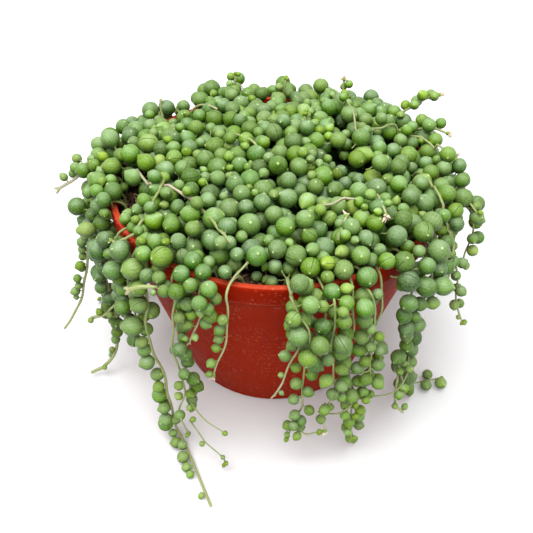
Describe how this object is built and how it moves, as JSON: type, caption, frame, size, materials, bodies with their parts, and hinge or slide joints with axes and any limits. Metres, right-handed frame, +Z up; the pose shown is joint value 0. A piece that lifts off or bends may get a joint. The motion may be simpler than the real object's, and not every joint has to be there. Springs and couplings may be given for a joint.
{
  "type": "potted string of pearls",
  "caption": "String of pearls plant with round leaves heaped over peat in a tapered plastic nursery pot, its stems trailing over the rim.",
  "frame": {"origin": "centre of the pot's base, on the surface it stands on", "axes": "+Z up the pot's axis; the front as pictured faces -Y, with +X to its right"},
  "size_m": [0.1994, 0.1807, 0.1179],
  "materials": {
    "pot": "satin",
    "peat": "matte",
    "leaf": "satin"
  },
  "bodies": {
    "root": {"pot": "pot", "soil": "peat", "crown": "leaf", "strand_01": "leaf", "strand_02": "leaf", "strand_03": "leaf", "strand_04": "leaf", "strand_05": "leaf", "strand_06": "leaf", "strand_07": "leaf", "strand_08": "leaf", "strand_09": "leaf", "strand_10": "leaf", "strand_11": "leaf", "strand_12": "leaf", "strand_13": "leaf", "strand_14": "leaf", "strand_15": "leaf", "strand_16": "leaf", "strand_17": "leaf", "strand_18": "leaf", "strand_19": "leaf", "strand_20": "leaf", "strand_21": "leaf", "strand_22": "leaf", "strand_23": "leaf", "strand_24": "leaf", "strand_25": "leaf", "strand_26": "leaf", "strand_27": "leaf", "strand_28": "leaf"}
  },
  "joints": []
}
